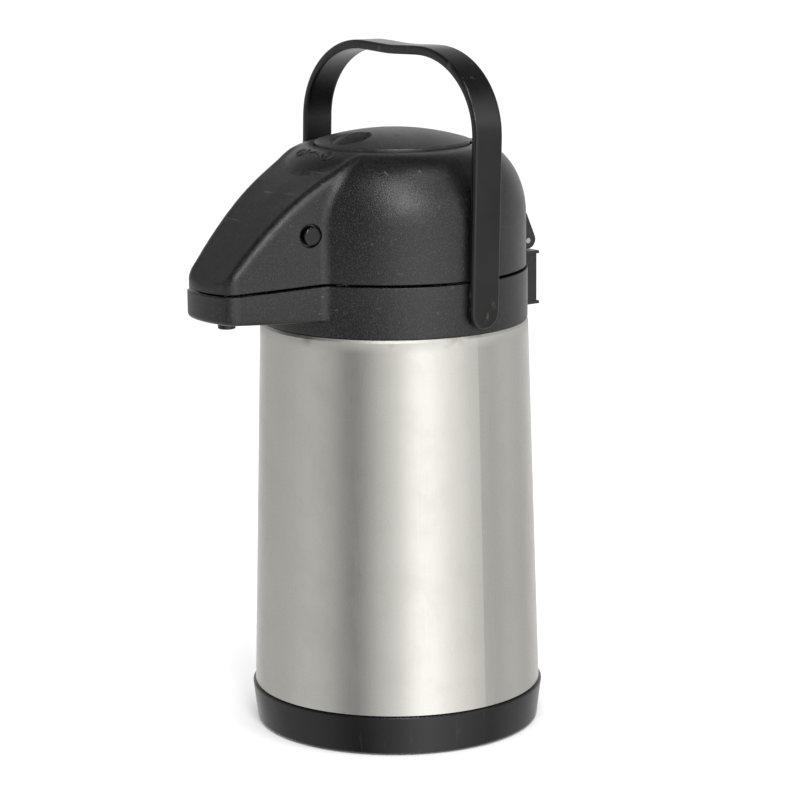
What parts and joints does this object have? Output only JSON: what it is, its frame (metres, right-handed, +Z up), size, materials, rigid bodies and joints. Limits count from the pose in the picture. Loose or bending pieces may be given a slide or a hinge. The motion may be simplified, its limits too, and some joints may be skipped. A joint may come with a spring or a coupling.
{
  "type": "thermal coffee airpot",
  "caption": "Steel-cased vacuum airpot with a black spout head, press plate with lock dial, release buttons, rear hinge and swinging bail handle.",
  "frame": {"origin": "centre of the base's underside, on the surface the airpot stands on", "axes": "+Z up along the body, the spout beak towards -Y, the hinge at +Y, +X to the right seen from the spout side"},
  "size_m": [0.1586, 0.21, 0.3693],
  "materials": {
    "black_plastic": "fine grained matte",
    "base_plastic": "satin moulded",
    "bail_plastic": "satin moulded",
    "press_plastic": "fine grained matte",
    "button_plastic": "smooth",
    "inner_plastic": "plain moulded",
    "casing_steel": "satin brushed",
    "steel_hardware": "plain turned",
    "siphon_steel": "drawn tube",
    "silvered_glass": "silvered",
    "black_rubber": "matte",
    "seal_silicone": "matte",
    "pump_rubber": "matte"
  },
  "bodies": {
    "body": {"base_ring": "base_plastic", "rubber_foot": "black_rubber", "base_plate": "base_plastic", "base_screws": "steel_hardware", "flask_support": "inner_plastic", "flask_cushion": "seal_silicone", "steel_casing": "casing_steel", "flask_outer_wall": "silvered_glass", "flask_inner_wall": "silvered_glass", "neck_gasket": "seal_silicone", "neck_ring": "inner_plastic", "shoulder_collar": "black_plastic", "hinge_bracket": "black_plastic", "bracket_screws": "steel_hardware", "hinge_pin": "steel_hardware", "bail_pins": "steel_hardware", "latch_strikes": "steel_hardware", "stopper": "inner_plastic", "stopper_gasket": "seal_silicone", "siphon_tube": "siphon_steel", "siphon_foot": "inner_plastic", "valve_seat": "inner_plastic", "spout_pipe": "siphon_steel", "nozzle": "black_plastic"},
    "head": {"head_shell": "black_plastic", "inner_plate": "inner_plastic", "inner_plate_screws": "steel_hardware", "air_port_seal": "seal_silicone", "air_valve_flap": "seal_silicone", "bellows": "pump_rubber", "return_spring": "steel_hardware", "button_springs": "steel_hardware"},
    "press": {"press_plate": "press_plastic", "plunger": "inner_plastic", "plunger_screws": "steel_hardware"},
    "lock": {"lock_dial": "press_plastic", "lock_cam": "inner_plastic"},
    "right_button": {"release_button_right": "button_plastic"},
    "left_button": {"release_button_left": "button_plastic"},
    "bail": {"bail_handle": "bail_plastic"},
    "ball": {"check_ball": "steel_hardware"}
  },
  "joints": [
    {"name": "head_open", "type": "hinge", "parent": "body", "child": "head", "pos_m": [0, 0.08, 0.2575], "axis": [-1, 0, 0], "range_deg": [0, 22]},
    {"name": "press_slide", "type": "slide", "parent": "head", "child": "press", "axis": [0, 0, -1], "range_m": [0, 0.022], "stiffness_N_per_m": 300, "springref_m": -0.01, "deforming": ["bellows", "return_spring"]},
    {"name": "lock_dial_turn", "type": "hinge", "parent": "press", "child": "lock", "pos_m": [0, -0.0283, 0.32105], "axis": [0, -0.2064, 0.9785], "range_deg": [0, 90]},
    {"name": "right_button_press", "type": "slide", "parent": "head", "child": "right_button", "axis": [-0.9868, 0.1622, 0], "range_m": [0, 0.003], "stiffness_N_per_m": 600, "springref_m": -0.004},
    {"name": "left_button_press", "type": "slide", "parent": "head", "child": "left_button", "axis": [0.9868, 0.1622, 0], "range_m": [0, 0.003], "stiffness_N_per_m": 600, "springref_m": -0.004},
    {"name": "bail_swing", "type": "hinge", "parent": "body", "child": "bail", "pos_m": [0, 0.002, 0.2345], "axis": [1, 0, 0], "range_deg": [-90, 90]},
    {"name": "check_ball_lift", "type": "slide", "parent": "body", "child": "ball", "axis": [0, 0, 1], "range_m": [0, 0.005]}
  ]
}
